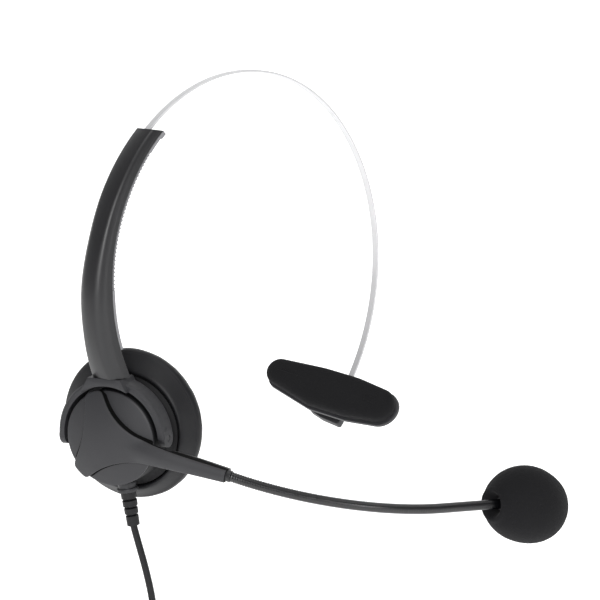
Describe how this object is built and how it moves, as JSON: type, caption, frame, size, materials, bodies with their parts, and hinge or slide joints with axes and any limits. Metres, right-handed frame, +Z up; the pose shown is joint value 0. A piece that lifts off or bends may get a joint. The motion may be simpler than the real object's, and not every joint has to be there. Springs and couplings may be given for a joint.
{
  "type": "office telephone headset",
  "caption": "Single-sided office headset: steel headband with temple pad, one swivelling ear cup, gooseneck microphone boom and corded plug.",
  "frame": {"origin": "centre of the headband's arc, in the plane of the steel strip", "axes": "+Z up as worn, wearer faces -Y, ear cup at -X and temple pad at +X"},
  "size_m": [0.164, 0.1582, 0.2984],
  "materials": {
    "black_plastic": "fine satin moulded",
    "grey_plastic": "satin moulded",
    "inner_grey_plastic": "moulded",
    "strip_steel": "satin spring steel",
    "bright_steel": "plated",
    "foam": "open-cell foam",
    "leatherette": "soft leatherette",
    "cloth": "thin acoustic cloth",
    "membrane": "thin film",
    "magnet": "coated magnet",
    "copper_wire": "lacquered copper wire",
    "neck_rubber": "fine ribbed",
    "soft_rubber": "satin",
    "plug_metal": "gold plated"
  },
  "bodies": {
    "headband": {"headband_strip": "strip_steel", "band_stop": "grey_plastic", "pad_holder": "black_plastic", "pad_pivot_pin": "bright_steel"},
    "temple_pad": {"pad_shell": "grey_plastic", "pad_foam": "foam"},
    "arm": {"arm_shell": "black_plastic", "arm_cover": "inner_grey_plastic", "swivel_socket": "black_plastic", "band_guide": "grey_plastic", "detent_spring": "bright_steel", "arm_screws": "bright_steel", "swivel_rivet": "bright_steel"},
    "yoke": {"yoke_ring": "grey_plastic", "tilt_pins": "black_plastic"},
    "ear_cup": {"cup_shell": "black_plastic", "hub_dome": "grey_plastic", "cup_baffle": "black_plastic", "cup_screws": "bright_steel", "speaker_frame": "inner_grey_plastic", "speaker_pot": "bright_steel", "speaker_magnet": "magnet", "speaker_pole": "bright_steel", "voice_coil": "copper_wire", "speaker_diaphragm": "membrane", "speaker_grille": "black_plastic", "speaker_cloth": "cloth", "ear_cushion": "leatherette", "outlet_collar": "black_plastic", "cord_clamp": "inner_grey_plastic", "strain_relief": "soft_rubber", "cable": "soft_rubber", "cable_coil": "soft_rubber", "coil_tie": "soft_rubber", "cable_tail": "soft_rubber", "plug_relief": "soft_rubber", "plug_body": "black_plastic", "plug_pin": "plug_metal"},
    "boom": {"boom_cover": "grey_plastic", "boom_back": "black_plastic", "boom_screw": "bright_steel", "boom_washer": "bright_steel", "neck_ferrule": "black_plastic", "neck_root": "neck_rubber"},
    "neck_mid": {"neck_middle": "neck_rubber"},
    "neck_end": {"neck_outer": "neck_rubber"},
    "mic": {"neck_tip": "neck_rubber", "mic_housing": "black_plastic", "mic_capsule": "bright_steel", "mic_grommet": "soft_rubber", "mic_foam": "foam"}
  },
  "joints": [
    {"name": "size_adjust", "type": "hinge", "parent": "headband", "child": "arm", "pos_m": [0, 0, 0], "axis": [0, -1, 0], "range_deg": [0, 20]},
    {"name": "pad_tilt", "type": "hinge", "parent": "headband", "child": "temple_pad", "pos_m": [0.05389, -0.00066, -0.06388], "axis": [-0.1144, 0.9877, 0.1067], "range_deg": [-12, 12]},
    {"name": "yoke_swivel", "type": "hinge", "parent": "arm", "child": "yoke", "pos_m": [-0.0734, 0, -0.0334], "axis": [0, 0, 1], "range_deg": [-35, 8]},
    {"name": "cup_tilt", "type": "hinge", "parent": "yoke", "child": "ear_cup", "pos_m": [-0.0702, 0, -0.0562], "axis": [0.3412, -0.9374, 0.0698], "range_deg": [-6, 6]},
    {"name": "boom_turn", "type": "hinge", "parent": "ear_cup", "child": "boom", "pos_m": [-0.0702, 0, -0.0562], "axis": [-0.9397, -0.342, 0], "range_deg": [-45, 50]},
    {"name": "neck_bend_1", "type": "hinge", "parent": "boom", "child": "neck_mid", "pos_m": [-0.04856, -0.06156, -0.06947], "axis": [0.0682, -0.1873, 0.9799], "range_deg": [-15, 15]},
    {"name": "neck_bend_2", "type": "hinge", "parent": "neck_mid", "child": "neck_end", "pos_m": [-0.02658, -0.08606, -0.07569], "axis": [0.0682, -0.1873, 0.9799], "range_deg": [-15, 15]},
    {"name": "neck_bend_3", "type": "hinge", "parent": "neck_end", "child": "mic", "pos_m": [0.00348, -0.10003, -0.08045], "axis": [0.0682, -0.1873, 0.9799], "range_deg": [-15, 15]}
  ],
  "couplings": [
    {"joint": "neck_bend_2", "follows": "neck_bend_1", "ratio": 1},
    {"joint": "neck_bend_3", "follows": "neck_bend_1", "ratio": 1}
  ]
}
